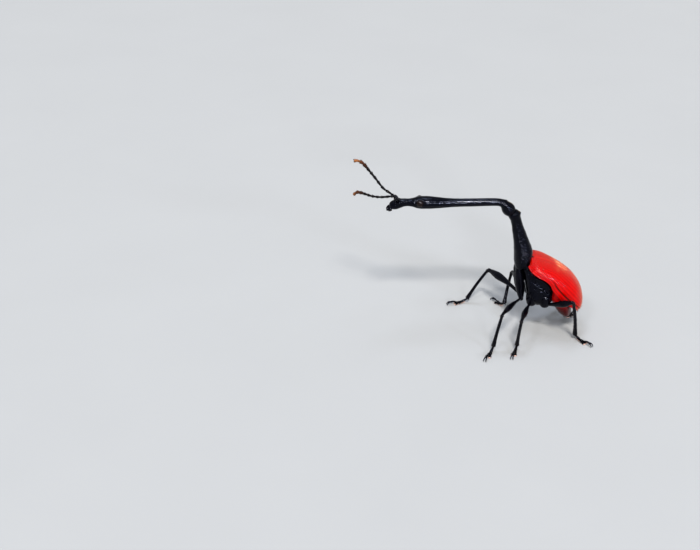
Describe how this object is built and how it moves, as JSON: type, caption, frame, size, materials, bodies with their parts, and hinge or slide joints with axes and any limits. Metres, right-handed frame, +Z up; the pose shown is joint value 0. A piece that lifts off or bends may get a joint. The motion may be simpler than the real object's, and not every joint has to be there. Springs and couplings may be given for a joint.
{
  "type": "giraffe weevil specimen model",
  "caption": "Life-size still model of a male long-necked weevil standing on its feet, neck raised and head held level, with black body and domed red wing cases.",
  "frame": {"origin": "on the floor plane under the middle of the animal's outline seen from above", "axes": "+Z up, the head points along -X and the tail along +X, the animal's left side faces -Y"},
  "size_m": [0.02, 0.011, 0.0163],
  "materials": {
    "black_shell": "glossy, finely wrinkled and pitted",
    "red_shell": "glossy, with rows of pits along it",
    "dark_red_shell": "satin",
    "eye_brown": "highly glossy"
  },
  "bodies": {
    "root": {"head": "black_shell", "neck": "black_shell", "neck_shield": "black_shell", "chest": "black_shell", "hind_body": "dark_red_shell", "wing_case_left": "red_shell", "wing_case_right": "red_shell", "eye_left": "eye_brown", "eye_right": "eye_brown", "jaw_left": "black_shell", "jaw_right": "black_shell", "feeler_left": "black_shell", "feeler_right": "black_shell", "leg_front_left": "black_shell", "leg_front_right": "black_shell", "leg_middle_left": "black_shell", "leg_middle_right": "black_shell", "leg_hind_left": "black_shell", "leg_hind_right": "black_shell"}
  },
  "joints": []
}
